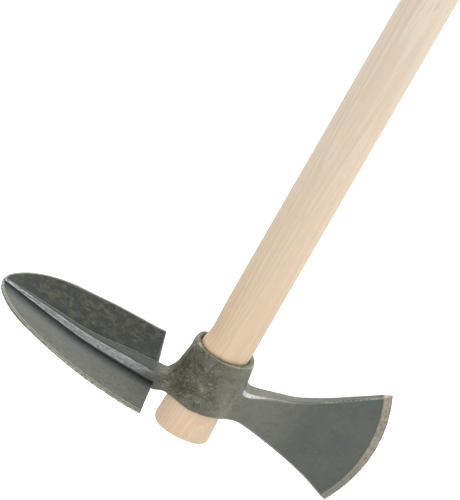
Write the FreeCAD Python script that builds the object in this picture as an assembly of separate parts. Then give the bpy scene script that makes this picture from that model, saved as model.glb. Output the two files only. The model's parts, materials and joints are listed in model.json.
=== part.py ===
import FreeCAD, Part
import math
import os
from FreeCAD import Vector

# A planting mattock: one forged steel head, with a pointed hoe blade on one side of its eye and an axe
# blade on the other, slipped over a round tapered ash handle from the grip end.
#
# Both pieces are shaped in the tool's own frame, in millimetres: the origin is on the handle's axis at
# half the height of the eye, +X points to the axe edge, +Z runs along the handle to the grip, and the
# head is the same on both sides of Y = 0. At the end the tool is laid down as it comes to rest on a
# floor: on one corner of the hoe blade, on the axe edge and on the rim of the grip end. There the handle
# runs along +Y, +Z is up, and the origin is under the middle of the tool's box.

# Handle
HANDLE_LENGTH = 950.0       # stub end to grip end
SEAT_RADIUS = 22.75         # of the handle at half the height of the eye
SEAT_SLOPE = 0.053          # radius lost per mm towards the grip, from the stub to past the eye
SEAT_RUN = 12.0             # the seat's slope goes on this far past the eye
GRIP_RADIUS = 18.4
GRIP_LENGTH = 490.0         # cylindrical stretch, up to the rounding of the end
GRIP_END_ROUND = 7.0
STUB_LENGTH = 27.5          # stands out below the eye
STUB_END_ROUND = 4.0

# Eye
EYE_HEIGHT = 59.0
EYE_WALL = 3.4              # at half its height
EYE_SLOPE = 0.01            # the outer cone is nearly a cylinder: radius lost per mm towards the grip
EYE_PLAY = 0.05             # between bore and handle, seated
EYE_RIM_ROUND = 1.2
EYE_MOUTH = 1.9             # the bore's upper mouth is opened this much, each side
EYE_MOUTH_DEPTH = 20.0
EYE_ARCH_RISE = 7.9         # the lower rim is arched between neck and axe
EYE_ARCH_RADIUS = 139.0
EYE_ARCH_X = 4.4            # the arch is highest this far towards the axe

# Hoe blade: a dished leaf with a raised rib
HOE_LENGTH = 144.5          # shoulder to tip, along X
HOE_WIDTH = 137.0
HOE_SHOULDER_SET = 5.0      # a shoulder comes this much nearer to the eye at its inner end
HOE_RISE = 7.1              # of the blade's root above the lower rim of the eye
HOE_TIP_RISE = 21.4         # the blade curves towards the grip by this much
HOE_THICKNESS = 3.2
HOE_EDGE_THICKNESS = 1.6
HOE_DISH = 0.10             # slope of the wings at the root
RIB_HEIGHT = 9.0
RIB_TIP_HEIGHT = 1.6
RIB_WIDTH = 17.0
RIB_TIP_WIDTH = 2.0
RIB_DRAFT = 1.5

# Neck, between the eye and the hoe blade
NECK_REACH = 14.1           # from the eye's wall to the root of the blade
NECK_WIDTH = 17.0
NECK_HEIGHT = 17.4
NECK_FADE = 23.0            # its underside fades into the blade this far past the root
NECK_FLARE = 8.0            # wider than the neck, each side, where it ends inside the eye
WEB_BELOW_RIM = 5.5         # the neck's web leaves the eye this far below the upper rim
WEB_FOOT = 11.5             # the web has run out into the neck this far from the eye's wall

# Axe blade
AXE_REACH = 153.3           # handle axis to the middle of the edge
AXE_EDGE_RADIUS = 141.7
AXE_EDGE_HEIGHT = 121.0
AXE_EDGE_MIDDLE = 1.1       # height of the middle of the edge over the middle of the eye
AXE_NECK_REACH = 7.3        # from the eye's wall to where the blade is slimmest in height
AXE_NECK_RISE = 7.1         # of the blade's lower side above the lower rim of the eye
AXE_NECK_HEIGHT = 28.6
AXE_NECK_THICKNESS = 20.6
AXE_BEVEL = 7.6
AXE_BEVEL_THICKNESS = 5.0   # at the inner side of the ground bevel
AXE_EDGE_THICKNESS = 0.6
AXE_SHOULDER = 3.4          # how far the blade's upper side is filleted into the eye
AXE_CHEEK_HOLLOW = 4.2      # each cheek's fall from its neck over the first fifth of the blade

# Worked out from the values above
EYE_TOP = EYE_HEIGHT / 2
EYE_BOTTOM = -EYE_HEIGHT / 2
STUB_END = EYE_BOTTOM - STUB_LENGTH
GRIP_END = STUB_END + HANDLE_LENGTH
GRIP_TOP = GRIP_END - GRIP_END_ROUND
GRIP_START = GRIP_TOP - GRIP_LENGTH
EYE_SIDE = SEAT_RADIUS + EYE_PLAY + EYE_WALL
HOE_ROOT = EYE_SIDE + NECK_REACH
HOE_SHOULDER = HOE_ROOT + HOE_SHOULDER_SET
HOE_TIP = HOE_SHOULDER + HOE_LENGTH
HOE_LEVEL = EYE_BOTTOM + HOE_RISE
WEB_TOP = EYE_TOP - WEB_BELOW_RIM
AXE_NECK_X = EYE_SIDE + AXE_NECK_REACH
AXE_NECK_BOTTOM = EYE_BOTTOM + AXE_NECK_RISE
AXE_NECK_TOP = AXE_NECK_BOTTOM + AXE_NECK_HEIGHT
AXE_TOP_CORNER = AXE_EDGE_MIDDLE + AXE_EDGE_HEIGHT / 2
AXE_BOTTOM_CORNER = AXE_EDGE_MIDDLE - AXE_EDGE_HEIGHT / 2
FAR = 600.0                 # a length past everything in the head
DEEP = -FAR / 2
POINT_TOLERANCE = 0.05      # of the points that the resting pose and the box are worked out from
PAST = 4.0                  # how far one shape runs into or past the next before they are cut or joined
INSIDE = 16.0               # from the handle's axis to where neck and blade end inside the eye's wall

# Outlines, as (share of the length, share of the width or height)
HOE_CURVE = [
    (-0.03, 0.0), (0.1, 0.02), (0.23, 0.095), (0.37, 0.265),
    (0.51, 0.47), (0.65, 0.68), (0.8, 0.83), (1.03, 1.04),
]
HOE_LEAF = [(0.0, 1.0), (0.44, 0.865), (0.78, 0.595), (0.935, 0.28)]
WEB_CURVE = [(-0.12, 1.0), (0.05, 0.64), (0.28, 0.29), (0.57, 0.075), (1.0, 0.0)]
AXE_UPPER = [(0.0, 0.0), (0.22, 0.115), (0.5, 0.326), (0.73, 0.617), (1.0, 1.0)]
AXE_LOWER = [(0.0, 0.0), (0.135, 0.076), (0.47, 0.362), (0.8, 0.707), (1.0, 1.0)]


def seat_radius(z):
    return SEAT_RADIUS - SEAT_SLOPE * z


def eye_radius(z):
    return EYE_SIDE - EYE_SLOPE * z


def lower_rim(x):
    """Height of the arched lower rim of the eye."""
    return EYE_BOTTOM + EYE_ARCH_RISE - (x - EYE_ARCH_X) ** 2 / (2 * EYE_ARCH_RADIUS)


def spline(points):
    curve = Part.BSplineCurve()
    curve.interpolate(points)
    return curve.toShape()


def line(start, end):
    return Part.LineSegment(start, end).toShape()


def closed(points):
    return Part.makePolygon(points + points[:1])


def handle():
    """Turned ash: stub with a rounded end, seat cone, long taper, cylindrical grip with a rounded end."""
    stub = seat_radius(STUB_END + STUB_END_ROUND)
    taper_start = EYE_TOP + SEAT_RUN
    side = [
        Vector(stub, 0, STUB_END + STUB_END_ROUND),
        Vector(seat_radius(taper_start), 0, taper_start),
        Vector(GRIP_RADIUS, 0, GRIP_START),
        Vector(GRIP_RADIUS, 0, GRIP_TOP),
    ]
    set_back = 1 - math.sqrt(0.5)
    stub_set = STUB_END_ROUND * set_back
    grip_set = GRIP_END_ROUND * set_back
    stub_middle = Vector(stub - stub_set, 0, STUB_END + stub_set)
    grip_middle = Vector(GRIP_RADIUS - grip_set, 0, GRIP_END - grip_set)
    stub_flat = Vector(stub - STUB_END_ROUND, 0, STUB_END)
    grip_flat = Vector(GRIP_RADIUS - GRIP_END_ROUND, 0, GRIP_END)
    edges = [
        line(Vector(0, 0, STUB_END), stub_flat),
        Part.Arc(stub_flat, stub_middle, side[0]).toShape(),
        line(side[0], side[1]),
        line(side[1], side[2]),
        line(side[2], side[3]),
        Part.Arc(side[3], grip_middle, grip_flat).toShape(),
        line(grip_flat, Vector(0, 0, GRIP_END)),
        line(Vector(0, 0, GRIP_END), Vector(0, 0, STUB_END)),
    ]
    return Part.Face(Part.Wire(edges)).revolve(Vector(0, 0, 0), Vector(0, 0, 1), 360)


def eye():
    """The outer cone of the eye, with a rounded upper rim and an arched lower one."""
    foot = Vector(0, 0, EYE_BOTTOM)
    cone = Part.makeCone(eye_radius(EYE_BOTTOM), eye_radius(EYE_TOP), EYE_HEIGHT, foot)
    rim = [edge for edge in cone.Edges if edge.BoundBox.ZMin > 0]
    cone = cone.makeFillet(EYE_RIM_ROUND, rim)
    arch = Vector(EYE_ARCH_X, DEEP, EYE_BOTTOM + EYE_ARCH_RISE - EYE_ARCH_RADIUS)
    return cone.cut(Part.makeCylinder(EYE_ARCH_RADIUS, FAR, arch, Vector(0, 1, 0)))


def bore():
    """The conical bore, with its upper mouth opened."""
    low = EYE_BOTTOM - PAST
    high = EYE_TOP + PAST
    narrow = seat_radius(high) + EYE_PLAY
    cone = Part.makeCone(seat_radius(low) + EYE_PLAY, narrow, high - low, Vector(0, 0, low))
    mouth_low = EYE_TOP - EYE_MOUTH_DEPTH
    mouth_radius = seat_radius(mouth_low) + EYE_PLAY
    wide = seat_radius(EYE_TOP) + EYE_PLAY + EYE_MOUTH
    past = 1 + PAST / EYE_MOUTH_DEPTH
    widest = mouth_radius + (wide - mouth_radius) * past
    mouth = Part.makeCone(mouth_radius, widest, EYE_MOUTH_DEPTH * past, Vector(0, 0, mouth_low))
    return cone.fuse(mouth)


def hoe_section(share, rise):
    """A cross-section of sheet and rib, wider than the blade, at this share of the way to the tip."""
    x = -HOE_ROOT - (HOE_TIP - HOE_ROOT) * share
    middle = HOE_LEVEL + HOE_TIP_RISE * rise
    rib_top = (RIB_WIDTH + (RIB_TIP_WIDTH - RIB_WIDTH) * share) / 2
    rib_foot = rib_top + RIB_DRAFT
    rib = middle + RIB_HEIGHT + (RIB_TIP_HEIGHT - RIB_HEIGHT) * share
    reach = HOE_WIDTH / 2 + PAST
    edge = middle + HOE_DISH * (1 - share) * (reach - rib_foot)
    half = [(rib_top, rib), (rib_foot, middle), (reach, edge), (reach, edge - HOE_EDGE_THICKNESS)]
    points = [Vector(x, y, z) for y, z in half]
    points.append(Vector(x, 0, middle - HOE_THICKNESS))
    points += [Vector(x, -y, z) for y, z in reversed(half)]
    return closed(points)


def hoe_outline():
    """The leaf seen along the handle, cut out of a plate as thick as the head is tall."""
    half = HOE_WIDTH / 2
    side = [Vector(-HOE_SHOULDER - HOE_LENGTH * a, half * b, DEEP) for a, b in HOE_LEAF]
    mirrored = [Vector(p.x, -p.y, p.z) for p in reversed(side)]
    leaf = spline(side + [Vector(-HOE_TIP, 0, DEEP)] + mirrored)
    inner = Vector(-HOE_ROOT, 0, DEEP)
    wire = Part.Wire([leaf, line(mirrored[-1], inner), line(inner, side[0])])
    return Part.Face(wire).extrude(Vector(0, 0, FAR))


def hoe():
    """The leaf: a loft through straight-sided sections, cut to the outline."""
    sheet = Part.makeLoft([hoe_section(share, rise) for share, rise in HOE_CURVE], True, False)
    return sheet.common(hoe_outline())


def neck():
    """The bar between hoe and eye, which runs up into the eye as a web."""
    top = HOE_LEVEL + RIB_HEIGHT
    bottom = top - NECK_HEIGHT
    heel_bottom = lower_rim(-INSIDE)
    end = -HOE_ROOT - NECK_FADE
    end_top = HOE_LEVEL - HOE_THICKNESS / 2
    end_bottom = end_top - HOE_THICKNESS
    web = [Vector(-EYE_SIDE - WEB_FOOT * a, DEEP, top + (WEB_TOP - top) * b) for a, b in WEB_CURVE]
    root = Vector(-HOE_ROOT, DEEP, top)
    heel = Vector(-INSIDE, DEEP, heel_bottom)
    under = [
        Vector(end, DEEP, end_bottom),
        Vector(-HOE_ROOT, DEEP, bottom),
        Vector(-EYE_SIDE - NECK_REACH / 2, DEEP, bottom + HOE_EDGE_THICKNESS),
        Vector(-EYE_SIDE, DEEP, lower_rim(-EYE_SIDE)),
    ]
    outline = [
        spline(web),
        line(web[-1], root),
        line(root, Vector(end, DEEP, end_top)),
        line(Vector(end, DEEP, end_top), under[0]),
        spline(under),
        line(under[-1], heel),
        line(heel, Vector(-INSIDE, DEEP, WEB_TOP)),
        line(Vector(-INSIDE, DEEP, WEB_TOP), web[0]),
    ]
    side = Part.Face(Part.Wire(outline)).extrude(Vector(0, FAR, 0))
    half = NECK_WIDTH / 2
    plan = cheeks([
        (end, half - HOE_EDGE_THICKNESS),
        (-HOE_ROOT, half),
        (-EYE_SIDE - NECK_REACH / 2, half),
        (-INSIDE, half + NECK_FLARE),
    ])
    return side.common(plan)


def cheeks(flank):
    """A plate as tall as the head, between a flank curve and its mirror image."""
    right = [Vector(x, y, DEEP) for x, y in flank]
    left = [Vector(x, -y, DEEP) for x, y in reversed(flank)]
    wire = Part.Wire([spline(right), line(right[-1], left[0]), spline(left), line(left[-1], right[0])])
    return Part.Face(wire).extrude(Vector(0, 0, FAR))


def on_edge(z):
    """How far from the handle's axis the axe's curved edge is at a height."""
    side = z - AXE_EDGE_MIDDLE
    return AXE_REACH - AXE_EDGE_RADIUS + math.sqrt(AXE_EDGE_RADIUS ** 2 - side ** 2)


def axe_side(shares, neck_z, corner_z):
    """One long side of the blade, from its neck to the corner of its edge."""
    run = on_edge(corner_z) - AXE_NECK_X
    rise = corner_z - neck_z
    return [Vector(AXE_NECK_X + run * a, DEEP, neck_z + rise * b) for a, b in shares]


def axe_ground():
    """The disc-shaped wedge that the bevel is ground to, on both sides of the edge."""
    centre = Vector(AXE_REACH - AXE_EDGE_RADIUS, 0, AXE_EDGE_MIDDLE)
    edge_half = AXE_EDGE_THICKNESS / 2
    slope = (AXE_BEVEL_THICKNESS / 2 - edge_half) / AXE_BEVEL
    centre_half = edge_half + slope * AXE_EDGE_RADIUS
    wedge = closed([
        Vector(centre.x, -centre_half, centre.z),
        Vector(AXE_REACH, -edge_half, centre.z),
        Vector(AXE_REACH, edge_half, centre.z),
        Vector(centre.x, centre_half, centre.z),
    ])
    return Part.Face(wedge).revolve(centre, Vector(0, 1, 0), 360)


def axe():
    """Flared blade: its cheeks flow out of the eye, and a bevel is ground along its curved edge."""
    top = axe_side(AXE_UPPER, AXE_NECK_TOP, AXE_TOP_CORNER)
    bottom = axe_side(AXE_LOWER, AXE_NECK_BOTTOM, AXE_BOTTOM_CORNER)
    fillet_bulge = AXE_SHOULDER / 4
    shoulder = Vector(AXE_NECK_X - AXE_SHOULDER, DEEP, AXE_NECK_TOP + AXE_SHOULDER)
    bend = Vector(shoulder.x + fillet_bulge, DEEP, AXE_NECK_TOP + fillet_bulge)
    rim = Vector(eye_radius(EYE_TOP), DEEP, WEB_TOP)
    heel = Vector(INSIDE, DEEP, AXE_NECK_BOTTOM)
    outline = [
        spline(top),
        Part.Arc(top[-1], Vector(AXE_REACH, DEEP, AXE_EDGE_MIDDLE), bottom[-1]).toShape(),
        spline(bottom),
        line(bottom[0], heel),
        line(heel, Vector(INSIDE, DEEP, WEB_TOP)),
        line(Vector(INSIDE, DEEP, WEB_TOP), rim),
        line(rim, shoulder),
        Part.Arc(shoulder, bend, top[0]).toShape(),
    ]
    side = Part.Face(Part.Wire(outline)).extrude(Vector(0, FAR, 0))
    neck_half = AXE_NECK_THICKNESS / 2
    bevel_half = AXE_BEVEL_THICKNESS / 2
    plan = cheeks([
        (INSIDE, EYE_SIDE - EYE_WALL),
        (EYE_SIDE, neck_half + AXE_SHOULDER),
        (AXE_NECK_X, neck_half),
        (AXE_NECK_X + (AXE_REACH - AXE_NECK_X) / 5, neck_half - AXE_CHEEK_HOLLOW),
        (AXE_REACH - AXE_BEVEL, bevel_half),
        (AXE_REACH + PAST, bevel_half),
    ])
    return side.common(plan).common(axe_ground())


def head():
    """The forging in one piece, with the bore through its eye."""
    forging = eye().fuse([neck(), hoe(), axe()])
    return forging.cut(bore()).removeSplitter()


def lowest(points, up):
    return min(points, key=lambda point: point.dot(up))


def points_of(shape):
    return shape.tessellate(POINT_TOLERANCE)[0]


def resting_up(steel, wood):
    """The floor's upward normal, in the tool's frame, when it lies on hoe corner, axe edge and grip end."""
    groups = [
        [point for point in points_of(steel) if point.x < -HOE_ROOT],
        [point for point in points_of(steel) if point.x > AXE_NECK_X],
        [point for point in points_of(wood) if point.z > GRIP_START],
    ]
    up = Vector(0, -1, 0)
    for _ in range(8):  # each round finds the three lowest points again, and it settles within a few
        hoe_point, axe_point, grip_point = [lowest(group, up) for group in groups]
        up = (axe_point - hoe_point).cross(grip_point - hoe_point)
        up.normalize()
    return up


def laid_down(steel, wood):
    """The placement that puts the tool on the floor, handle along +Y, origin under the box's middle."""
    up = resting_up(steel, wood)
    along = Vector(0, 0, 1) - up * up.z
    along.normalize()
    across = along.cross(up)
    turn = FreeCAD.Matrix(
        across.x, across.y, across.z, 0,
        along.x, along.y, along.z, 0,
        up.x, up.y, up.z, 0,
        0, 0, 0, 1,
    )
    box = FreeCAD.BoundBox()
    for point in points_of(steel) + points_of(wood):
        box.add(turn.multVec(point))
    turn.A14 = -box.Center.x
    turn.A24 = -box.Center.y
    turn.A34 = -box.ZMin
    return FreeCAD.Placement(turn)


def write(name, shape, place):
    solid = shape.Solids[0].copy()
    solid.Placement = place
    solid.exportStep(os.path.join("parts", name + ".step"))
    print(name, "valid", solid.isValid(), "solids", len(shape.Solids), "mm3", round(solid.Volume))
    return solid


os.makedirs("parts", exist_ok=True)
steel_head = head()
ash_handle = handle()
place = laid_down(steel_head, ash_handle)
placed_head = write("head", steel_head, place)
placed_handle = write("handle", ash_handle, place)


def in_metres(point):
    return [round(v / 1000, 6) for v in place.multVec(point)]


def direction(vector):
    return [round(v, 6) for v in place.Rotation.multVec(vector)]


print("handle_axis", direction(Vector(0, 0, 1)))
print("tool_x", direction(Vector(1, 0, 0)))
print("tool_y", direction(Vector(0, 1, 0)))
print("eye_middle", in_metres(Vector(0, 0, 0)))
print("grip_middle", in_metres(Vector(0, 0, GRIP_START + GRIP_LENGTH / 2)))
print("stub_face", in_metres(Vector(0, 0, STUB_END)))
print("travel_to_come_off", round((GRIP_END - EYE_BOTTOM) / 1000, 4))
print("overlap_mm3", round(placed_head.common(placed_handle).Volume, 4))
print("gap_mm", round(placed_head.distToShape(placed_handle)[0], 4))
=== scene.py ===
# %% [markdown]
# # A planting mattock, lying on a pale floor
#
# A planting mattock is a forester's hand tool: a pointed hoe blade opens the ground, an axe blade on the
# other side of the eye cuts roots, and both are one forging. The handle is a turned ash pole, thicker at
# the head, and the head is slipped over it from the grip end until its conical eye wedges on the wood.
#
# The packed model gives the places, the grip's size and the one joint. This lesson builds the two pieces
# again as fine meshes, gives them steel and wood, and lets them ride on the bodies of that model.

import json
import math
from types import SimpleNamespace

import bpy
import numpy as np
import openvdb
from mathutils import Matrix, Vector, noise


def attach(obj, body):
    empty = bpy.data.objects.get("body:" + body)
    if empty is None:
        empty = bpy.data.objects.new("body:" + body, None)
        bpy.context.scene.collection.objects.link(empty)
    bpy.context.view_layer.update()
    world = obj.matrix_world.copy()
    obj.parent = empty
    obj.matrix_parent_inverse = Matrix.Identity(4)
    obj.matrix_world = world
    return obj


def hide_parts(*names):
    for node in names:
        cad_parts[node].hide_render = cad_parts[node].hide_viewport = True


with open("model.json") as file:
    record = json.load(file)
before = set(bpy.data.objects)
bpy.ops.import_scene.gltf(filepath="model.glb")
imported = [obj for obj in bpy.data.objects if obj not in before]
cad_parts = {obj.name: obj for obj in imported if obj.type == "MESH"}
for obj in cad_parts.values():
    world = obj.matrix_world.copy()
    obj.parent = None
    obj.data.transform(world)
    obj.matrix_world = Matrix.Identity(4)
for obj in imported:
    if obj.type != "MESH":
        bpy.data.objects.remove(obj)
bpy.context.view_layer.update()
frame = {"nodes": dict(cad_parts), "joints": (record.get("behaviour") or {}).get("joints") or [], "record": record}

# %% [markdown]
# ## The tool's own frame
#
# The tool lies askew on the floor, so its shapes would be awkward to write down in the floor's directions.
# A smith thinks from the handle: Z runs along it to the grip, X points to the axe edge, and the origin is
# in the middle of the eye. The joint's axis and the two mounts fix Z and the origin. For X, the points of
# the head that are furthest from the handle are looked up: on the axe side they are its edge.
# Everything below is shaped in this frame, in millimetres, and placed once by a matrix.

# %% Find the tool's frame
MM = 0.001
EYE_HEIGHT = 59.0
STUB_LENGTH = 27.5
EDGE_BAND = 2.0                  # points this near to the furthest one count as the axe edge

mounts = {mount["name"]: mount for mount in frame["record"]["mounts"]}
along = Vector(frame["joints"][0]["axis"]).normalized()
stub_face = Vector(mounts["stub_face"]["pos_m"])
grip_middle = Vector(mounts["grip"]["pos_m"])
grip_radius = mounts["grip"]["dims"]["r_mm"]
grip_length = mounts["grip"]["dims"]["length_mm"]
eye_middle = stub_face + along * (STUB_LENGTH + EYE_HEIGHT / 2) * MM


def off_axis(point):
    """The shortest way from the handle's axis to a point."""
    arm = point - eye_middle
    return arm - along * arm.dot(along)


arms = [off_axis(vertex.co) for vertex in frame["nodes"]["head"].data.vertices]
axe_arms = [arm for arm in arms if arm.x > 0]
axe_reach = max(arm.length for arm in axe_arms)
edge_arms = [arm for arm in axe_arms if arm.length > axe_reach - EDGE_BAND * MM]
to_axe = off_axis(eye_middle + sum(edge_arms, Vector()) / len(edge_arms)).normalized()
to_back = along.cross(to_axe)
tool_place = Matrix.Translation(eye_middle) @ Matrix((to_axe, to_back, along)).transposed().to_4x4()
print("axe reach, mm:", round(axe_reach / MM, 1), "directions:", to_axe[:], to_back[:])

# %% [markdown]
# ## Camera
#
# The tool is seen from the hoe's left, a little from the grip, and rolled so that the handle leaves at the
# top right. A long lens keeps the perspective mild. The camera is described in the tool's frame as well, by
# a turn round the handle, a height above the head's plane and a roll, and placed with the same matrix.

# %% Set the camera
CAMERA_TURN = math.radians(-6.2)
CAMERA_HEIGHT = math.radians(25.6)
CAMERA_ROLL = math.radians(29.3)
CAMERA_DISTANCE = 1202.0
CAMERA_ASIDE = (-16.8, -106.1)   # where the middle of the eye is, from the middle of the view
LENS = 103.68
FURTHEST = 20.0                  # metres, past the far end of the floor

camera_back = Vector((
    math.sin(CAMERA_TURN) * math.cos(CAMERA_HEIGHT),
    -math.cos(CAMERA_TURN) * math.cos(CAMERA_HEIGHT),
    math.sin(CAMERA_HEIGHT),
))
level = Vector((math.cos(CAMERA_TURN), math.sin(CAMERA_TURN), 0))
upright = camera_back.cross(level)
camera_right = level * math.cos(CAMERA_ROLL) + upright * math.sin(CAMERA_ROLL)
camera_up = camera_back.cross(camera_right)
camera_spot = camera_back * CAMERA_DISTANCE - camera_right * CAMERA_ASIDE[0] - camera_up * CAMERA_ASIDE[1]
camera_turned = Matrix((camera_right, camera_up, camera_back)).transposed().to_4x4()

camera = bpy.data.objects.new("camera", bpy.data.cameras.new("camera"))
camera.data.lens = LENS
camera.data.clip_end = FURTHEST
camera.matrix_world = tool_place @ Matrix.Translation(camera_spot * MM) @ camera_turned
bpy.context.collection.objects.link(camera)
bpy.context.scene.camera = camera
print("camera at", [round(v, 3) for v in camera.matrix_world.translation])

# %% [markdown]
# ## Shader sums as Python
#
# A material is a graph of nodes, and a sum written as nodes is hard to read. `Wire` wraps one socket, so
# that `1 - mask * 0.4` adds the Math nodes itself. Colours are blended by `mix`, and directions go through
# Vector Math. Every node comes from the one method `node`: settings first, then sockets.

# %% A wire that does sums
class Wire:
    """One socket of a material's nodes, which Python can do sums with."""

    def __init__(self, tree, socket=None):
        self.tree = tree
        self.socket = socket

    def node(self, kind, settings=None, sockets=None, output=0):
        """Adds a node, with its settings and then the values or wires of its sockets."""
        made = self.tree.nodes.new(kind)
        for name, value in (settings or {}).items():
            setattr(made, name, value)
        for name, value in (sockets or {}).items():
            if isinstance(value, Wire):
                self.tree.links.new(value.socket, made.inputs[name])
            else:
                made.inputs[name].default_value = value
        return Wire(self.tree, made.outputs[output])

    def reckon(self, operation, first, second=0.0):
        return self.node("ShaderNodeMath", {"operation": operation}, {0: first, 1: second})

    def __add__(self, other):
        return self.reckon("ADD", self, other)

    def __radd__(self, other):
        return self.reckon("ADD", other, self)

    def __sub__(self, other):
        return self.reckon("SUBTRACT", self, other)

    def __rsub__(self, other):
        return self.reckon("SUBTRACT", other, self)

    def __mul__(self, other):
        return self.reckon("MULTIPLY", self, other)

    def __rmul__(self, other):
        return self.reckon("MULTIPLY", other, self)

    def __pow__(self, other):
        return self.reckon("POWER", self, other)

    def __rpow__(self, other):
        return self.reckon("POWER", other, self)

    def smaller(self, other):
        return self.reckon("MINIMUM", self, other)

    def larger(self, other):
        return self.reckon("MAXIMUM", self, other)

    def fraction(self):
        return self.reckon("FRACT", self)

    def between(self, low, high):
        """0 below low, 1 above high, and smooth from one to the other."""
        return self.node(
            "ShaderNodeMapRange", {"interpolation_type": "SMOOTHSTEP"},
            {"Value": self, "From Min": low, "From Max": high},
        )

    def parts(self):
        """The X, Y and Z of a place, as three wires."""
        split = self.node("ShaderNodeSeparateXYZ", sockets={"Vector": self})
        return [Wire(self.tree, socket) for socket in split.socket.node.outputs]

    def stretched(self, scale):
        """A place with each direction scaled: a small number draws the pattern out that way."""
        return self.node("ShaderNodeVectorMath", {"operation": "MULTIPLY"}, {0: self, 1: scale})

    def noise(self, size, detail=3.0, rough=0.5, seed=0.0, warp=0.0):
        """Noise with patches of about this size, in the wire's own units."""
        return self.node(
            "ShaderNodeTexNoise", {"noise_dimensions": "4D"},
            {"Vector": self, "Scale": 1 / size, "Detail": detail, "Roughness": rough, "W": seed,
             "Distortion": warp},
        )

    def mix(self, first, second):
        """The first colour where the wire is 0, and the second where it is 1."""
        return self.node("ShaderNodeMix", {"data_type": "RGBA"}, {0: self, 6: first, 7: second}, output=2)


print("a wire's own tools:", sorted(name for name in vars(Wire) if not name.startswith("_")))

# %% [markdown]
# ## Starting and ending a material
#
# Each material starts as Blender's Principled shader with nothing plugged in, and each ends by plugging
# wires into its named sockets. Colours are given as on a paint chart, 0 to 255, and the shader wants the
# light they stand for, so they are converted once, here.

# %% An empty material, a plug and a colour
def new_material(name):
    """An empty Principled material: its shader node and a wire to start from."""
    material = bpy.data.materials.new(name)
    material.use_nodes = True
    tree = material.node_tree
    return material, tree.nodes["Principled BSDF"], Wire(tree)


def plug(shader, **wires):
    for name, wire in wires.items():
        wire.tree.links.new(wire.socket, shader.inputs[name.replace("_", " ")])


def bump(start, strength, depth, height):
    """The direction of a surface with small dents, depth in metres."""
    return start.node(
        "ShaderNodeBump", None, {"Strength": strength, "Distance": depth, "Height": height})


def paint(red, green, blue):
    """A colour as a paint chart gives it, 0 to 255, turned to light."""
    parts = [part / 255 for part in (red, green, blue)]
    return tuple(((p + 0.055) / 1.055) ** 2.4 if p > 0.04 else p / 12.92 for p in parts) + (1.0,)


print("a paint chart's middle grey, as light:", round(paint(128, 128, 128)[0], 3))

# %% [markdown]
# ## Solids as distances
#
# The head is one forging: leaf, rib, neck, eye and axe blade flow into each other. Built from quads by
# hand, every one of those joints would need its own patch. Instead the solid is written as a signed
# distance: a number for each point of space, negative inside the steel and positive outside. Two solids
# meet with a fillet by `join`, and an edge is rounded by `cut`, whatever their shapes are.

# %% Cut, join and chamfer
def cut(first, second, radius):
    """The part that is inside both, with the edge between them rounded."""
    rounded = np.hypot(np.maximum(first + radius, 0), np.maximum(second + radius, 0))
    return np.minimum(np.maximum(first, second), -radius) + rounded


def join(first, second, radius):
    """The part that is inside either, with a fillet between them."""
    return -cut(-first, -second, radius)


def chamfer(first, second, depth):
    """The part inside both, with a flat across the edge between them."""
    return np.maximum(np.maximum(first, second), (first + second + depth) * math.sqrt(0.5))


print("on a sharp edge, a 2 mm rounding is this far inside, mm:", round(float(cut(0.0, 0.0, 2.0)), 2))

# %% [markdown]
# ## Outlines from a few points
#
# A blade is drawn as a smith would chalk it on the plate: a few points, a smooth line through them, and
# the other half mirrored. The spline passes through every point, so a width is changed where it is
# measured. The distance to the closed outline then makes a solid of it.

# %% Smooth lines and outlines
def smooth_curve(points, steps=6):
    """A smooth line through a few points (a Catmull-Rom spline)."""
    given = np.array(points, float)
    held = np.vstack([2 * given[0] - given[1], given, 2 * given[-1] - given[-2]])
    t = np.linspace(0, 1, steps, endpoint=False)[:, None]
    spans = []
    for a, b, c, d in zip(held, held[1:], held[2:], held[3:]):
        spans.append(b + (c - a) * t / 2 + (2 * a - 5 * b + 4 * c - d) * t**2 / 2
                     + (3 * b - a - 3 * c + d) * t**3 / 2)
    return np.vstack(spans + [given[-1:]])


def profile(points):
    """A smooth height over distance, through a few points."""
    run, height = smooth_curve(points).T
    return lambda x: np.interp(x, run, height)


def mirrored(points):
    """An outline from its half on the positive side of the middle line."""
    half = np.array(points, float)
    return np.vstack([half, (half * (1, -1))[::-1]])


def outline_distance(u, v, corners):
    """Signed distance to a closed outline in a plane: negative inside."""
    nearest = np.full(np.broadcast(u, v).shape, np.inf)
    side = np.ones(nearest.shape)
    for (ax, ay), (bx, by) in zip(corners, np.roll(corners, 1, axis=0)):
        ex, ey = bx - ax, by - ay
        wx, wy = u - ax, v - ay
        share = np.clip((wx * ex + wy * ey) / max(ex * ex + ey * ey, 1e-9), 0, 1)
        nearest = np.minimum(nearest, (wx - ex * share) ** 2 + (wy - ey * share) ** 2)
        above = (v >= ay) & (v < by) & (ex * wy > ey * wx)
        below = (v < ay) & (v >= by) & (ex * wy < ey * wx)
        side = np.where(above | below, -side, side)
    return side * np.sqrt(nearest)


square = np.array([(-1, -1), (1, -1), (1, 1), (-1, 1)])
print("from the middle of a 2 mm square, mm:", float(outline_distance(0.0, 0.0, square)))

# %% [markdown]
# ## The hoe blade
#
# The blade is a leaf drawn out to a point: thick along its middle, thinner to the sides, curved towards
# the grip, and with wings that rise a little from the rib. A flat-topped rib tapers from neck to tip and
# keeps the sheet stiff. Its whole curved edge is ground on the face towards the grip.
# Heights and widths are given over the distance from the handle's axis.

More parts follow.
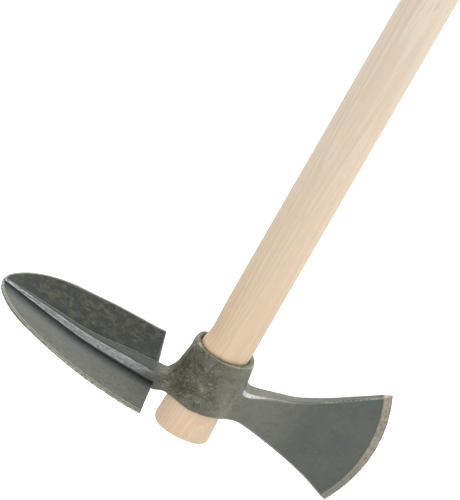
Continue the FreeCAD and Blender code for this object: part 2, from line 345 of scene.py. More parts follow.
# %% Sizes of the hoe
sheet_rise = profile([(30, -22.6), (50, -22.6), (74, -21.6), (96, -20.4), (116, -17.9), (138, -13.3),
                      (160, -8.5), (180, -3.9), (200, 0.4)])
wing_slope = profile([(30, 0.12), (50, 0.125), (81, 0.15), (96, 0.17), (119, 0.176), (140, 0.165),
                      (160, 0.13), (180, 0.065), (200, -0.02)])
rib_rise = profile([(20, 8.2), (30, 8.8), (38, 9.2), (60, 9.4), (74, 9.2), (93, 8.0), (113, 7.1),
                    (140, 5.6), (160, 4.2), (180, 2.6), (205, 0.8)])
rib_half = profile([(20, 4.8), (30, 6.0), (38, 7.2), (45, 7.5), (72, 6.2), (93, 4.2), (116, 2.9),
                    (140, 2.2), (180, 1.0), (205, 0.6)])
WING_EASE = 9.0                  # a wing leaves the rib level and takes up its slope over this distance
RIB_DRAFT = 0.16                 # how much the rib's flanks lean
RIB_ROUND = 0.7
RIB_FILLET = 1.0
RIB_START = 27.0                 # the rib runs on into the neck as far as this
RIB_SHORT = 0.8                  # and stops this far inside the leaf's edge
RIB_TIP_ROUND = 0.6
SHEET_THICK = 3.2
SHEET_THIN = 2.3
SHEET_ROUND = 0.4
LEAF_ROUND = 0.35
LEAF_HALF = 68.5
GROUND_WIDTH = (1.8, 0.036)      # at the middle line, and what it gains per mm to either side
GROUND_FALL = 0.36
SHOULDER = (39.8, 0.06)          # distance of the inner edge from the handle's axis, and its slant
SHOULDER_ROUND = 0.5
LEAF = mirrored(np.vstack([[(-20.0, LEAF_HALF)], smooth_curve([
    (-45.3, LEAF_HALF), (-81, 66.2), (-109, 61.2), (-137, 53.6), (-158, 43.8), (-172, 33.4),
    (-181, 22.9), (-187.3, 11.8), (-189.9, 0.0)])]))
print("hoe blade, mm: long", round(float(-LEAF[:, 0].min() - SHOULDER[0]), 1), "wide", 2 * LEAF_HALF)

# %% Shape the hoe
def hoe(x, y, z):
    aside = np.abs(y)
    run = -x
    wing = np.maximum(aside - rib_half(run), 0)
    face = sheet_rise(run) + wing_slope(run) * wing * wing / (wing + WING_EASE)
    back = face - SHEET_THICK - (SHEET_THIN - SHEET_THICK) * wing / LEAF_HALF
    leaf = outline_distance(x, y, LEAF)
    shoulder = x + SHOULDER[0] + SHOULDER[1] * aside
    ground_width = GROUND_WIDTH[0] + GROUND_WIDTH[1] * aside
    ground = (z - face + GROUND_FALL * (leaf + ground_width)) / math.hypot(1, GROUND_FALL)
    sheet = cut(np.maximum(z - face, ground), back - z, SHEET_ROUND)
    sheet = cut(cut(sheet, leaf, LEAF_ROUND), shoulder, SHOULDER_ROUND)
    rib_top = sheet_rise(run) + rib_rise(run)
    flank = (aside - rib_half(run) - RIB_DRAFT * (rib_top - z)) / math.hypot(1, RIB_DRAFT)
    rib = cut(cut(z - rib_top, flank, RIB_ROUND), back - z, SHOULDER_ROUND)
    rib = cut(cut(rib, leaf + RIB_SHORT, RIB_TIP_ROUND), x + RIB_START, SHOULDER_ROUND)
    return join(sheet, rib, RIB_FILLET)


print("inside the rib, mm:", round(float(hoe(-100.0, 0.0, -16.0)), 2))

# %% [markdown]
# ## The neck
#
# The neck is a bar that runs up the eye as a web, where the smith drew it out of the same block. It is an
# outline seen from the side, crossed with another seen from above, which is how a drop forging's two dies
# would cut it.

# %% Shape the neck
NECK_ROUND = 2.0
NECK_SIDE = np.vstack([
    smooth_curve([(-22.5, 29), (-24.9, 25.3), (-25.5, 20), (-26.8, 10.6), (-29.4, -2.5), (-32.8, -10.4),
                  (-37.5, -13.5), (-46, -13.5)]),
    [(-63, -20.5)],
    smooth_curve([(-63, -25.0), (-52, -29.5), (-44, -31.4), (-37, -30.4), (-30, -27.6), (-22, -25.0)]),
    [(-8, -25.0), (-8, 29.0)],
])
NECK_PLAN = mirrored(smooth_curve([(-63, 5.5), (-50, 7.6), (-40, 8.7), (-33, 9.0), (-28.5, 9.6),
                                   (-24, 11.4), (-18, 15.0), (-8, 17.0)]))


def neck(x, y, z):
    return cut(outline_distance(x, z, NECK_SIDE), outline_distance(x, y, NECK_PLAN), NECK_ROUND)


print("neck outlines:", len(NECK_SIDE), "points from the side,", len(NECK_PLAN), "from above")

# %% [markdown]
# ## The eye
#
# The eye is a conical sleeve with an arched lower rim. Hammered by hand, it isn't true: its upper end leans
# a little to the axe, and its upper rim isn't quite square to the handle. The bore is the seat's cone with
# a little air, and its upper mouth is opened, so that a dark gap shows round the wood.

# %% Shape the eye and its bore
EYE_RADIUS = 26.1                # the outer wall at the middle of the eye
EYE_TAPER = 0.02
EYE_LEAN = 0.8                   # how far the wall's upper end leans to the axe
EYE_SWELL = 0.5                  # and how much wider it is there
EYE_TOP = 30.0
RIM_RISE = 30.4
RIM_TILT_ALONG = 0.036
RIM_TILT_ACROSS = 0.11
RIM_ROUND = 1.6
ARCH_RISE = -21.6
ARCH_ASIDE = 4.4
ARCH_BEND = 0.0036
ARCH_ROUND = 1.0
SEAT_RADIUS = 22.75
SEAT_TAPER = 0.053
BORE_GAP = 0.1
MOUTH_START = 12.0
MOUTH_RUN = 18.0
MOUTH_OPEN = 0.7
MOUTH_ASIDE = -0.3


def eye_faces(x, y, z):
    """Distances to the outer wall, the upper rim and the arched lower rim."""
    upper = np.clip(z / EYE_TOP, 0, 1.1)
    wall = np.hypot(x - EYE_LEAN * upper, y) - EYE_RADIUS + EYE_TAPER * z - EYE_SWELL * upper
    rim = z - RIM_RISE - RIM_TILT_ALONG * x + RIM_TILT_ACROSS * y
    arch = ARCH_RISE - ARCH_BEND * (x - ARCH_ASIDE) ** 2 - z
    arch = arch / np.hypot(1, 2 * ARCH_BEND * (x - ARCH_ASIDE))
    return wall / math.hypot(1, EYE_TAPER), rim / math.hypot(1, RIM_TILT_ACROSS), arch


def eye(x, y, z):
    wall, rim, arch = eye_faces(x, y, z)
    return cut(cut(wall, rim, RIM_ROUND), arch, ARCH_ROUND)


def bore(x, y, z):
    """The conical hole with its opened mouth."""
    mouth = np.clip((z - MOUTH_START) / MOUTH_RUN, 0, 1) ** 2
    reach = SEAT_RADIUS + BORE_GAP - SEAT_TAPER * z + MOUTH_OPEN * mouth
    return (np.hypot(x - MOUTH_ASIDE * mouth, y) - reach) / math.hypot(1, SEAT_TAPER)


print("eye wall at the middle of the eye, mm:", round(float(bore(0, -EYE_RADIUS, 0)), 2))

# %% [markdown]
# ## The axe blade
#
# The axe blade leaves the eye at full thickness, narrows to a waist and flares to a round edge. It too is a side
# outline crossed with one from above. The upper edges of its cheeks are broken by a flat, wide at the eye and
# narrow at the edge, with a light streak painted on it as a highlight. The bevel is ground from both sides.

# %% Sizes of the axe blade
AXE_CENTRE = (11.6, 1.1)
AXE_RADIUS = 141.7
AXE_EDGE_HALF = 60.5
AXE_HALF_ANGLE = math.asin(AXE_EDGE_HALF / AXE_RADIUS)
AXE_BEVEL = 7.6
AXE_BEVEL_SLOPE = 0.27
AXE_KEEN = 0.45                  # half the thickness that is left at the edge
AXE_ROUND = 0.9
AXE_ARC = [(AXE_CENTRE[0] + AXE_RADIUS * math.cos(turn), AXE_CENTRE[1] + AXE_RADIUS * math.sin(turn))
           for turn in np.linspace(AXE_HALF_ANGLE, -AXE_HALF_ANGLE, 24)]
AXE_SIDE = np.vstack([
    smooth_curve([(23.5, 29.5), (26.2, 25.4), (28.2, 17.5), (29.6, 10.8), (32.0, 7.2), (38, 7.2),
                  (57, 12.8), (73, 17.8), (95, 30.2), (110, 40.4), (125, 51), AXE_ARC[0]]),
    AXE_ARC,
    smooth_curve([AXE_ARC[-1], (118.3, -48.5), (102.5, -41.9), (83.8, -35.6), (65.6, -30.2), (47.8, -25.2),
                  (37, -22.6), (28, -23.0), (18, -22.5)]),
    [(8, -22.5), (8, 29.5)],
])
AXE_PLAN = mirrored(smooth_curve([(6, 20.0), (14, 18.6), (20, 16.0), (26, 13.0), (33, 10.3), (44, 7.9),
                                  (57, 6.2), (90, 4.2), (145, 2.6), (165, 2.4)]))
streak_width = profile([(20, 0.5), (31, 3.3), (42, 2.6), (55, 1.6), (75, 1.1), (95, 0.5), (165, 0.4)])
AXE_UPPER = -5.0                 # above this the axe's corners get the flat, below it a rounding
print("axe edge, mm:", round(2 * AXE_HALF_ANGLE * AXE_RADIUS, 1), "round its arc")

# %% Shape the axe blade
def within_edge(x, z):
    """How far a point is inside the round cutting edge."""
    return AXE_RADIUS - np.hypot(x - AXE_CENTRE[0], z - AXE_CENTRE[1])


def axe(x, y, z):
    side = outline_distance(x, z, AXE_SIDE)
    plan = outline_distance(x, y, AXE_PLAN)
    block = np.where(z > AXE_UPPER, chamfer(side, plan, streak_width(x)), cut(side, plan, AXE_ROUND))
    bevel = np.abs(y) - AXE_KEEN - AXE_BEVEL_SLOPE * within_edge(x, z)
    return np.maximum(block, bevel / math.hypot(1, AXE_BEVEL_SLOPE))


print("middle of the cheek is inside by, mm:", round(float(-axe(90.0, 0.0, 0.0)), 2))

# %% [markdown]
# ## One forging
#
# Each part is joined to the eye with the fillet that its own die would leave, and the bore is cut last, so
# that it goes through everything. Where a part can't reach, its distance isn't worked out, which saves
# time and gives the same head.

# %% Join the parts of the head
NECK_FILLET = 4.5
AXE_FILLET = 4.0
HOE_FILLET = 2.4
BORE_ROUND = 1.1
FAR = 99.0                       # stands for a distance that doesn't matter


def only_where(near, solid, x, y, z):
    """The distance to a solid, worked out only for the points that can be near it."""
    if np.ndim(x) != 1:
        return solid(x, y, z)
    distance = np.full(x.shape, FAR)
    distance[near] = solid(x[near], y[near], z[near])
    return distance


def head(x, y, z):
    steel = join(eye(x, y, z), only_where((x > -70) & (x < 0), neck, x, y, z), NECK_FILLET)
    steel = join(steel, only_where(x > 0, axe, x, y, z), AXE_FILLET)
    steel = join(steel, only_where(x < -22, hoe, x, y, z), HOE_FILLET)
    return cut(steel, -bore(x, y, z), BORE_ROUND)


print("the eye is open, mm from its wall:", round(float(head(0.0, 0.0, 0.0)), 1))

# %% [markdown]
# ## From distances to a mesh
#
# OpenVDB walks a grid of distances and lays quads where the sign changes. Its points are only as good as
# the grid, so each is then moved along the slope of the true distance until it lies on the surface, in two
# Newton steps. The slope is kept as well: it is the surface's outward direction.

# %% Mesh the head
GRID = 0.96
BAND = 3 * GRID                  # distances beyond this are cut off
NEWTON_STEPS = 2
BLOCKS = [                       # boxes that hold the hoe, the eye with the neck, and the axe blade
    ((-194, -72, -31), (-26, 72, 12)),
    ((-66, -32, -36), (42, 32, 38)),
    ((24, -24, -64), (157, 24, 66)),
]


def slope(solid, points, reach=0.12):
    """The direction in which the distance grows, from four looks round each point."""
    looks = np.array([(1, -1, -1), (-1, -1, 1), (-1, 1, -1), (1, 1, 1)])
    return sum(np.outer(solid(*(points + look * reach).T), look) for look in looks) / (4 * reach)


def mesh_of(solid, blocks):
    """Points on the surface of a solid, their outward directions, and the quads between them."""
    grid = openvdb.FloatGrid()
    grid.background = BAND
    for low, high in blocks:
        first = [math.floor(a / GRID) for a in low]
        x, y, z = [np.arange(a, math.ceil(b / GRID)) * GRID for a, b in zip(first, high)]
        field = solid(x[:, None, None], y[None, :, None], z[None, None, :])
        grid.copyFromArray(np.clip(field, -BAND, BAND).astype(np.float32), ijk=tuple(first))
    points, quads = grid.convertToQuads(isovalue=0.0)
    points = points.astype(float) * GRID
    for _ in range(NEWTON_STEPS):
        rise = slope(solid, points)
        steep = np.maximum((rise**2).sum(axis=1), 0.1)
        step = np.clip(solid(*points.T) / steep, -GRID, GRID)
        points = points - rise * step[:, None]
    rise = slope(solid, points)
    outward = rise / np.maximum(np.linalg.norm(rise, axis=1), 1e-6)[:, None]
    return points, outward, quads


points, outward, quads = mesh_of(head, BLOCKS)
print("head:", len(points), "points,", len(quads), "quads")

# %% [markdown]
# ## Where the steel differs
#
# Scale, bare metal, painted highlights and painted shade sit in places that the shape decides: on the ground
# edges, round the eye, in the hollow corners, on the rib. The functions that made the shape are asked once more
# for each point, and the answers are kept as masks for the material. Worn edges and hollow corners come from a
# look just under and just above the surface.

# %% Masks from the shape
WEAR_LOOK = 1.2
HOLLOW_LOOK = 4.0
# Painted highlight: a light line along the axe's lower edge.
LOW_LINE_IN = 1.1                # the light line along the axe's lower edge is this far in


def proud(solid, points, outward, reach):
    """Above 0 near outer edges and below 0 in hollow corners."""
    return (solid(*(points - outward * reach).T) + reach) / reach


x, y, z = points.T
on_hoe = x < -30
rib_share = np.clip((z - sheet_rise(-x)) / rib_rise(-x), 0, 1) * (np.abs(y) < rib_half(-x) + 2.5)
leaf_in = -outline_distance(x, y, LEAF)
blade_in = -outline_distance(x, z, AXE_SIDE)
cheek_in = -outline_distance(x, y, AXE_PLAN)
wall, rim, arch = eye_faces(x, y, z)
rims = np.maximum(1 - np.hypot(wall, rim) / 2.2, 1 - np.hypot(wall, arch) / 1.8)
arris = np.abs(y - rib_half(-x)) + np.abs(z - sheet_rise(-x) - rib_rise(-x))
masks = {
    "rims": rims * ((x < 24) | (z > 10)),
    "streak": np.where((x > 29) & (z > AXE_UPPER), np.minimum(blade_in, cheek_in), 0),
    "low_edge_highlight": np.where((x > 38) & (z < 0) & (y < 0), np.abs(blade_in - LOW_LINE_IN), FAR),
    "leaf_in": np.where(on_hoe & (outward[:, 2] > 0), leaf_in, FAR),
    "ground_from": leaf_in - GROUND_WIDTH[0] - GROUND_WIDTH[1] * np.abs(y),
    "arris": np.where(x < -33, arris, FAR),
    "axe_in": np.where(x > 30, within_edge(x, z), FAR),
    "rough": np.clip(1 - (np.hypot(x + 8, y) - 24) / 16, 0, 1),
    "rib": rib_share * (x < -24) * (outward[:, 2] > -0.5),
    "foot": np.where(x < -40, np.abs(y) - rib_half(-x) - RIB_DRAFT * rib_rise(-x), FAR),
    "wear": np.clip(proud(head, points, outward, WEAR_LOOK), 0, 1) * (x > -60),
    "hollow": np.clip(-proud(head, points, -outward, HOLLOW_LOOK), 0, 1),
}
ground = (masks["ground_from"] < 0) & (masks["leaf_in"] < 9) | (masks["axe_in"] < AXE_BEVEL)
print("points on ground edges:", int(ground.sum()), "on worn edges:", int((masks["wear"] > 0.3).sum()))

# %% [markdown]
# ## What the hammer left
#
# Forged steel isn't smooth. The eye keeps shallow hammer marks, the blades only a slow waviness from the
# rolls, and the ground bevels are true. The marks are real dents, moved into the points, so they show in
# the outline and in every light. The finished points are kept a second time, as an attribute in the tool's
# own frame: the materials are laid out in it, so their patterns stay on the piece wherever it rides.

# %% Dent the surface and make the head
HAMMER_MARKS = ((0.50, 10.0, 1), (0.28, 3.6, 2))      # depth, size and seed of each, on the eye
ROLL_WAVES = (0.14, 24.0, 3)                          # the same, elsewhere


def waves(points, size, seed):
    """Smooth noise from -1 to 1 at each point, with lumps of about this size."""
    shift = Vector((seed * 17.3, seed * 5.1, seed * 9.7))
    return np.array([noise.noise(Vector(point) / size + shift) for point in points])


def build_mesh(name, points, faces, masks):
    """A smooth-shaded object, placed on the floor, with its own places and masks kept per point."""
    mesh = bpy.data.meshes.new(name)
    mesh.from_pydata((points * MM).tolist(), [], faces)
    place = mesh.attributes.new("place", "FLOAT_VECTOR", "POINT")
    place.data.foreach_set("vector", np.asarray(points, np.float32).ravel())
    for mask, values in masks.items():
        layer = mesh.attributes.new(mask, "FLOAT", "POINT")
        layer.data.foreach_set("value", np.asarray(values, np.float32))
    mesh.shade_smooth()
    mesh.update()
    mesh.transform(tool_place)
    thing = bpy.data.objects.new(name, mesh)
    bpy.context.collection.objects.link(thing)
    return thing


marks = sum(depth * waves(points, size, seed) for depth, size, seed in HAMMER_MARKS) * masks["rough"]
rolled = ROLL_WAVES[0] * waves(points, *ROLL_WAVES[1:]) * (1 - masks["rough"])
in_bore = bore(x, y, z) < 1.0
dents = (marks + rolled) * ~ground * ~in_bore
mattock_head = build_mesh("mattock_head", points + outward * dents[:, None], quads.tolist(), masks)
print("deepest dent, mm:", round(float(dents.min()), 2), "highest lump:", round(float(dents.max()), 2))

# %% [markdown]
# ## Forged and oiled steel
#
# After forging the head is dipped in oil while hot, which leaves a dark grey-green skin of scale. It is mottled
# brown and olive where the oil burnt, pitted on the eye, smoother on the cheeks, and rubbed to a lighter grey
# along the edges. Only the cutting edges are bare: ground across, so their scratches run from the skin to the
# edge. Highlights and shade are painted into the skin as well: light on the rims, the rib's flank and arris and
# the axe's upper and lower edges, dark on the far wing and on the rib's crest and foot. All of it is noise of the
# right size, steered by the masks. First come the places, each a wire that is 1 there and 0 elsewhere, and the
# patches.

# %% Places and patches on the steel
def steel_places(start, millimetres):
    """Wires that are 1 in one place of the head and 0 elsewhere, and the distances that they come from."""
    def mask(name):
        return start.node("ShaderNodeAttribute", {"attribute_name": name}, output=2)

    along_head, across_head, up_head = millimetres.parts()
    rib, leaf_in, axe_in, ground_from = mask("rib"), mask("leaf_in"), mask("axe_in"), mask("ground_from")
    on_leaf = (1 - ground_from.between(-0.4, 0.0)) * (1 - leaf_in.between(20.0, 60.0))
    on_axe = 1 - axe_in.between(AXE_BEVEL - 0.3, AXE_BEVEL)
    blade = 1 - along_head.between(-48.0, -38.0)
    leaf = 1 - along_head.between(-46.0, -40.0)
    return SimpleNamespace(
        along=along_head,
        rough=mask("rough"),
        wear=mask("wear"),
        hollow=mask("hollow").between(0.02, 0.35),
        rims=mask("rims").between(0.3, 0.8),
        leaf_in=leaf_in,
        axe_in=axe_in,
        on_axe=on_axe,
        low_axe=1 - up_head.between(-42.0, 15.0),
        lips=1 - leaf_in.smaller(0.0 - ground_from).between(0.2, 0.9),
        ground=on_leaf.larger(on_axe),
        flank=rib.between(0.08, 0.22) * (1 - rib.between(0.82, 0.96)) * blade,
        crest_shade=rib.between(0.85, 0.98) * blade,
        foot=(1 - mask("foot").between(-0.5, 20.0)) * (1 - rib.between(0.02, 0.12)),
        arris=(1 - mask("arris").between(0.2, 1.3)) * (1 - along_head.between(-60.0, -30.0) * 0.6),
        streak=mask("streak").between(0.15, 0.6) * (1 - along_head.between(30.0, 62.0) * 0.7),
        low_edge_highlight=1 - mask("low_edge_highlight").between(0.1, 0.8),
        leaf=leaf,
        back_wing=leaf * across_head.between(0.0, 14.0),
        front_wing=leaf * (1 - across_head.between(-40.0, -12.0)),
        smooth_root=along_head.between(-4.0, 20.0) * (1 - along_head.between(42.0, 100.0)),
    )


def steel_patches(millimetres):
    """Wires of noise, from large clouds to specks, and the marks of tools."""
    specks = millimetres.noise(1.9, detail=4.0, rough=0.7, seed=3.0)
    drawn = millimetres.stretched((0.1, 1.4, 0.45))
    return SimpleNamespace(
        clouds=millimetres.noise(34.0, detail=4.0, seed=1.0).between(0.35, 0.68),
        blotches=millimetres.noise(7.0, detail=5.0, rough=0.65, seed=2.0, warp=0.6).between(0.47, 0.62),
        stains=millimetres.noise(13.0, detail=5.0, rough=0.6, seed=8.0).between(0.46, 0.58),
        freckles=millimetres.noise(3.4, detail=4.0, rough=0.65, seed=9.0).between(0.42, 0.60),
        specks=specks,
        pits=specks.between(0.60, 0.68),
        crumbs=1 - specks.between(0.36, 0.44),
        scratches=drawn.noise(1.6, detail=3.0, seed=4.0).between(0.63, 0.74),
        hatching=millimetres.stretched((0.5, 1.0, 1.6)).noise(1.6, detail=3.0, seed=7.0),
        fine=millimetres.stretched((0.4, 0.4, 0.4)).noise(1.4, detail=4.0, seed=6.0),
    )


print("masks kept with each point:", ", ".join(masks))

# %% [markdown]
# ## The skin of scale
#
# The skin is painted in layers: the scale's own grey with painted shade on the far wing, then what the oil burnt
# on the eye, then pits and crumbs, then painted shade on the rib's crest and along its foot and a darker brown in
# the hollow corners, and last painted highlights on the rims, the rib's flank and far arris and the axe's upper
# and lower edges, and the light grey that use has rubbed on the worn edges.

# %% Colour the skin
def scale_skin(on, patch):
    """The colour of the oiled scale, with painted highlights and painted shade: on is the places, patch the noise.
    """
    mottled = on.rough + on.leaf * 0.35 + 0.12
    skin = patch.clouds.mix(paint(92, 99, 96), paint(100, 104, 99))
    skin = (on.smooth_root * 0.8).mix(skin, paint(128, 128, 118))
    # Painted shade: the far wing is painted near black, where the light didn't reach it.
    skin = (on.back_wing * 0.9).mix(skin, paint(32, 36, 33))
    skin = (on.front_wing * 0.6).mix(skin, paint(84, 86, 74))
    skin = (on.back_wing * patch.blotches * 0.16).mix(skin, paint(90, 94, 82))
    skin = (on.front_wing * patch.freckles * 0.35).mix(skin, paint(60, 62, 50))

    skin = (on.rough * 0.55).mix(skin, paint(112, 110, 94))
    skin = (on.rough * 0.5 * patch.stains).mix(skin, paint(62, 60, 44))
    skin = (on.rough * 0.6 * (1 - patch.stains) * patch.blotches).mix(skin, paint(152, 147, 126))
    skin = (patch.blotches * (0.2 + mottled * 0.3)).mix(skin, paint(92, 88, 62))
    skin = (patch.pits * mottled * (1 - on.leaf * 0.5) * 0.85).mix(skin, paint(40, 38, 30))
    skin = (patch.crumbs * mottled * (1 - on.leaf * 0.7) * 0.6).mix(skin, paint(166, 162, 142))

    # Painted shade on the rib's crest.
    skin = (on.crest_shade * 0.75).mix(skin, paint(52, 55, 50))
    # Painted shade: a dark band on the wings along the rib's foot, where the rib's shadow falls, fading out over
    # 20 mm.
    skin = (on.foot * 0.92).mix(skin, paint(24, 31, 32))
    # A darker brown in the hollow corners of the eye.
    skin = (on.hollow * on.rough * 0.75).mix(skin, paint(96, 82, 46))

    # Painted highlight along the eye's rims, broken up by the blotches.
    skin = (on.rims * (0.25 + patch.blotches * 0.55)).mix(skin, paint(180, 174, 158))
    # Painted highlight: the rib's near flank is painted almost white, as the sheen where it faced the light,
    # weaker towards the tip and at the neck.
    lit = patch.hatching.between(0.38, 0.60) * 0.5 + 0.5 - 0.35 * (1 - on.along.between(-175.0, -120.0))
    lit = lit * (1 - on.along.between(-70.0, -44.0) * 0.75)
    skin = (on.flank * lit).mix(skin, paint(206, 209, 211))
    skin = (patch.scratches * mottled * 0.5).mix(skin, paint(150, 150, 128))
    # Painted highlight on the flat along the axe's upper edge, strongest near the eye.
    streak_glint = 0.6 + patch.hatching.between(0.4, 0.6) * 0.4
    skin = (on.streak * streak_glint).mix(skin, paint(205, 206, 202))
    # Painted highlight along the axe's lower edge.
    skin = (on.low_edge_highlight * 0.6).mix(skin, paint(190, 192, 184))
    # Painted highlight along the rib's far arris.
    skin = (on.arris * 0.6).mix(skin, paint(158, 161, 156))
    return (on.wear.between(0.12, 0.5) * 0.7).mix(skin, paint(172, 172, 160))


print("the darkest layer reflects this share of the light:", round(paint(24, 31, 32)[1], 3))

# %% [markdown]
# ## Ground edges, and the whole steel
#
# The ground edges are brushed along the strokes of the stone: the noise is laid out over the distance from
# the edge, so that it follows the curve. The bare steel is shinier and smoother than the skin, and both
# share one Principled shader, so the line between them is sharp and has no seam.

# %% Make the forged steel
def forged_steel():
    material, shader, start = new_material("forged_steel")
    millimetres = start.node("ShaderNodeAttribute", {"attribute_name": "place"}, output=1)
    on = steel_places(start, millimetres)
    patch = steel_patches(millimetres)

    strokes = start.node("ShaderNodeCombineXYZ", sockets={"X": on.axe_in, "Y": on.leaf_in})
    brushed = strokes.noise(1.1, detail=3.0, seed=5.0) * 0.6 + patch.fine * 0.4
    axe_bare = brushed.between(0.36, 0.62).mix(paint(138, 130, 114), paint(198, 188, 172))
    axe_bare = (on.low_axe * 0.7).mix(axe_bare, paint(146, 148, 136))
    leaf_bare = brushed.between(0.40, 0.62).mix(paint(92, 95, 84), paint(128, 129, 116))
    leaf_bare = (on.lips * 0.8).mix(leaf_bare, paint(176, 175, 160))
    bare = on.on_axe.mix(leaf_bare, axe_bare)
    plug(shader, Base_Color=on.ground.mix(scale_skin(on, patch), bare))

    dull = 0.46 + on.rough * 0.10 + (patch.specks - 0.5) * 0.30 - on.wear * 0.12 - on.flank * 0.10
    plug(shader, Roughness=on.ground * (0.36 - dull) + dull)
    plug(shader, Metallic=0.55 + on.ground * 0.35)
    shader.inputs["Specular IOR Level"].default_value = 0.3

    relief = patch.specks * (0.35 + on.rough * 0.65) - patch.pits * on.rough * 0.8 - patch.scratches * 0.2
    height = on.ground * (brushed * 0.25 - relief) + relief
    plug(shader, Normal=bump(start, 0.5, 0.0008, height))
    return material


mattock_head.data.materials.append(forged_steel())
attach(mattock_head, "head")
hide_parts("head")
print("steel nodes:", len(mattock_head.active_material.node_tree.nodes))

# %% [markdown]
# ## The ash handle
#
# The handle is turned: stub, seat cone, a long taper and a straight grip, each end rounded over. A lathe
# is a profile spun round an axis, so the mesh is one too, with a point every few millimetres so that the
# wood can be a little out of true. First the profile is drawn: radius and height, from stub to grip.

# %% Draw the handle's profile
STUB_END = -EYE_HEIGHT / 2 - STUB_LENGTH
STUB_ROUND = 3.5
GRIP_ROUND = 7.0
SEAT_RUN = 12.0                  # the seat's cone runs on above the eye for this long
RING_GAP = 3.0

grip_end = (grip_middle - eye_middle).dot(along) / MM + grip_length / 2 + GRIP_ROUND
grip_start = grip_end - GRIP_ROUND - grip_length
seat_end = EYE_HEIGHT / 2 + SEAT_RUN
stub_radius = SEAT_RADIUS - SEAT_TAPER * (STUB_END + STUB_ROUND)
seat_radius = SEAT_RADIUS - SEAT_TAPER * seat_end


def rounded_end(radius, rounding, end, inward):
    """From the middle of an end face out and round its edge: radius and height, point by point."""
    flat = [(share * (radius - rounding), end) for share in (0.04, 0.25, 0.45, 0.65, 0.85)]
    turns = np.linspace(0, math.pi / 2, 7)
    bend = [(radius - rounding + rounding * math.sin(turn), end + inward * rounding * (1 - math.cos(turn)))
            for turn in turns]
    return flat + bend


turned = [(stub_radius, STUB_END + STUB_ROUND), (seat_radius, seat_end), (grip_radius, grip_start),
          (grip_radius, grip_end - GRIP_ROUND)]
side = []
for (r0, z0), (r1, z1) in zip(turned, turned[1:]):
    count = round((z1 - z0) / RING_GAP)
    side += [(r0 + (r1 - r0) * i / count, z0 + (z1 - z0) * i / count) for i in range(1, count)]
    side.append((r1, z1))
rings = rounded_end(stub_radius, STUB_ROUND, STUB_END, 1) + side[:-1]
rings += rounded_end(grip_radius, GRIP_ROUND, grip_end, -1)[::-1]
print("handle profile:", len(rings), "rings, from", round(STUB_END, 1), "to", round(grip_end, 1), "mm")

# %% [markdown]
# ## Turn it, and let the wood move
#
# A wooden pole is never quite true. Its side waves by a tenth of a millimetre, it is pared on the neck's
# side just above the eye, as a maker does when the head sits crooked, and it bows a little to the axe's
# side there. The stub's end face has shrunk into a slight arch. None of that reaches the seat in the eye.

# %% Turn the handle
AROUND = 96
WOBBLE = (0.10, 14.0, 5)         # depth, size and seed
PARED = (1.1, 36.0, 26.0)        # depth, height of its middle, and spread
BOW = (0.95, 40.0, 420.0)        # how far aside, from which height, and the height in which it is gone
STUB_ARCH = 0.008                # the end face rises by this times the square of the distance aside

turns = np.arange(AROUND) * 2 * math.pi / AROUND
radius, height = np.array(rings).T
wood = np.stack([
    np.outer(radius, np.cos(turns)), np.outer(radius, np.sin(turns)), np.outer(height, np.ones(AROUND)),
], axis=2).reshape(-1, 3)
aside = np.hypot(wood[:, 0], wood[:, 1])
is_side = np.clip((aside - 12) / 4, 0, 1)
free = np.clip((wood[:, 2] - 30) / 12, 0, 1)
near_eye = np.exp(-((wood[:, 2] - PARED[1]) / PARED[2]) ** 2)
pared = PARED[0] * near_eye * np.clip(-wood[:, 0] / 22, 0, 1) ** 2
wobble = WOBBLE[0] * waves(wood * (1, 1, 0.12), *WOBBLE[1:]) * free
wood[:, :2] *= (1 + (wobble - pared * free) * is_side / np.maximum(aside, 1))[:, None]
to_stub = np.clip((-30 - wood[:, 2]) / 26, 0, 1)
wood[:, 2] += STUB_ARCH * wood[:, 1] ** 2 * to_stub
wood[:, 0] += BOW[0] * free * np.clip(1 - (wood[:, 2] - BOW[1]) / BOW[2], 0, 1)

faces = []
for ring in range(len(rings) - 1):
    low, high = ring * AROUND, (ring + 1) * AROUND
    for step in range(AROUND):
        after = (step + 1) % AROUND
        faces.append((low + step, low + after, high + after, high + step))
faces.append(tuple(reversed(range(AROUND))))
faces.append(tuple(range((len(rings) - 1) * AROUND, len(rings) * AROUND)))
ash_handle = build_mesh("ash_handle", wood, faces, {})
print("handle:", len(wood), "points,", len(faces), "faces")

# %% [markdown]
# ## Ash wood
#
# Ash is pale and coarse: each year's ring has a band of open pores that shows as a darker, pinkish streak
# along the pole. The rings are real here: distance from a pith that lies outside the pole and wanders a
# little, so the streaks widen and close as they do on a turned piece, and the end faces show arcs. Short
# pores break up each band. The wood is sanded and bare, so it is dull.

# %% Make the ash
PITH = (-19.0, 27.0)             # where the tree's middle was, across the pole
GRAIN_LEAN = (0.012, -0.045, 0.0)
YEARS_PER_MM = 0.40
WANDER = 12.0


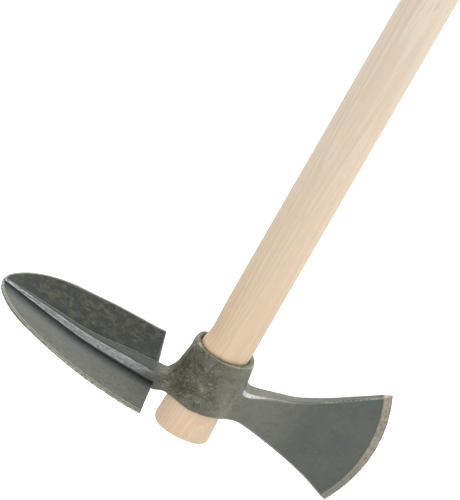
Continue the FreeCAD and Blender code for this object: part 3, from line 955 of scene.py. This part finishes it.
def ash_wood():
    material, shader, start = new_material("ash_wood")
    millimetres = start.node("ShaderNodeAttribute", {"attribute_name": "place"}, output=1)
    leaning = start.node("ShaderNodeVectorRotate", {"rotation_type": "EULER_XYZ"},
                         {"Vector": millimetres, "Rotation": GRAIN_LEAN})
    along_x, along_y, along_z = leaning.parts()

    wander = leaning.stretched((1.0, 1.0, 0.022)).noise(22.0, detail=2.0, seed=1.0)
    from_pith = ((along_x - PITH[0]) ** 2.0 + (along_y - PITH[1]) ** 2.0) ** 0.5
    phase = ((from_pith + wander * WANDER) * YEARS_PER_MM).fraction()
    late = phase.between(0.05, 0.75) * (1 - phase.between(0.86, 0.99))
    pores = leaning.stretched((1.0, 1.0, 0.07)).noise(0.9, detail=2.0, seed=2.0).between(0.55, 0.72)
    fibre = leaning.stretched((1.0, 1.0, 0.02)).noise(1.5, detail=4.0, rough=0.6, seed=3.0)
    silk = leaning.stretched((1.0, 1.0, 0.04)).noise(0.8, detail=3.0, rough=0.6, seed=5.0)
    broad = millimetres.stretched((1.0, 1.0, 0.12)).noise(30.0, detail=2.0, seed=4.0)
    low_end = 1 - along_z.between(10.0, 260.0)

    pale = low_end.mix(paint(212, 202, 184), paint(217, 196, 167))
    warm = low_end.mix(paint(198, 182, 158), paint(206, 172, 142))
    colour = (late * 0.52).mix(pale, warm)
    # Painted shade: the handle's side towards the axe is painted darker.
    colour = (along_x.between(-4.0, 18.0) * 0.32).mix(colour, paint(194, 170, 142))
    colour = (silk.between(0.40, 0.62) * 0.30).mix(colour, paint(214, 178, 156))
    colour = (broad.between(0.45, 0.7) * 0.35).mix(colour, paint(212, 186, 160))
    colour = (pores * (1 - late) * 0.30).mix(colour, paint(166, 134, 104))
    colour = (fibre.between(0.5, 0.8) * 0.30).mix(colour, paint(190, 162, 134))
    plug(shader, Base_Color=colour)
    plug(shader, Roughness=0.62 + fibre * 0.14 - late * 0.06)
    plug(shader, Normal=bump(start, 0.25, 0.0004, fibre * 0.5 - pores * (1 - late) * 0.8))
    shader.inputs["Specular IOR Level"].default_value = 0.35
    return material


ash_handle.data.materials.append(ash_wood())
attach(ash_handle, "handle")
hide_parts("handle")
print("ash: a ring every", round(1 / YEARS_PER_MM, 1), "mm")

# %% [markdown]
# ## Floor
#
# The tool lies on a plain, pale floor that fills the view. It glows a little, like a lit table, so that the
# shadows stay faint. Its paint has a barely visible grain.

# %% Lay the floor
FLOOR_HALF = 6.0
FLOOR_GLOW = 0.75


def stage_floor():
    corners = [(-FLOOR_HALF, -FLOOR_HALF, 0), (FLOOR_HALF, -FLOOR_HALF, 0),
               (FLOOR_HALF, FLOOR_HALF, 0), (-FLOOR_HALF, FLOOR_HALF, 0)]
    mesh = bpy.data.meshes.new("floor")
    mesh.from_pydata(corners, [], [(0, 1, 2, 3)])
    floor = bpy.data.objects.new("floor", mesh)
    bpy.context.collection.objects.link(floor)
    material, shader, start = new_material("floor")
    grain = start.node("ShaderNodeTexCoord", output=3).noise(0.4, detail=2.0)
    plug(shader, Base_Color=grain.mix((0.93, 0.93, 0.93, 1), (0.96, 0.96, 0.96, 1)))
    shader.inputs["Roughness"].default_value = 0.9
    shader.inputs["Specular IOR Level"].default_value = 0.1
    shader.inputs["Emission Color"].default_value = (1.0, 1.0, 1.0, 1.0)
    shader.inputs["Emission Strength"].default_value = FLOOR_GLOW
    mesh.materials.append(material)


stage_floor()
print("floor, m:", 2 * FLOOR_HALF, "square")

# %% [markdown]
# ## Light
#
# Big, soft lamps wrap round the tool, as in a studio tent: one large lamp above lights the floor evenly, a second
# from the grip's side shines along the rib's flank and the axe's upper edge, and the world fills the rest. The
# brightest light on that flank and edge is painted into the steel's colour as well.

# %% Lamps and world
WORLD_STRENGTH = 0.6


def lamp(name, spot, target, side, power):
    """A square lamp at spot, facing target, both in the row's frame."""
    light = bpy.data.lights.new(name, "AREA")
    light.shape = "SQUARE"
    light.size = side
    light.energy = power
    thing = bpy.data.objects.new(name, light)
    bpy.context.collection.objects.link(thing)
    thing.location = spot
    thing.rotation_euler = (Vector(target) - Vector(spot)).to_track_quat("-Z", "Y").to_euler()


lamp("top_lamp", spot=(0.3, -0.2, 2.2), target=(0, -0.3, 0), side=2.4, power=27)
lamp("flank_lamp", spot=(0.5, 1.5, 1.2), target=(0, -0.4, 0), side=1.0, power=10)
world = bpy.data.worlds.new("studio")
world.use_nodes = True
world.node_tree.nodes["Background"].inputs["Color"].default_value = (1.0, 1.0, 1.0, 1.0)
world.node_tree.nodes["Background"].inputs["Strength"].default_value = WORLD_STRENGTH
bpy.context.scene.world = world
bpy.context.scene.view_settings.view_transform = "Standard"
print("lamps:", [light.name for light in bpy.data.lights])

# %% [markdown]
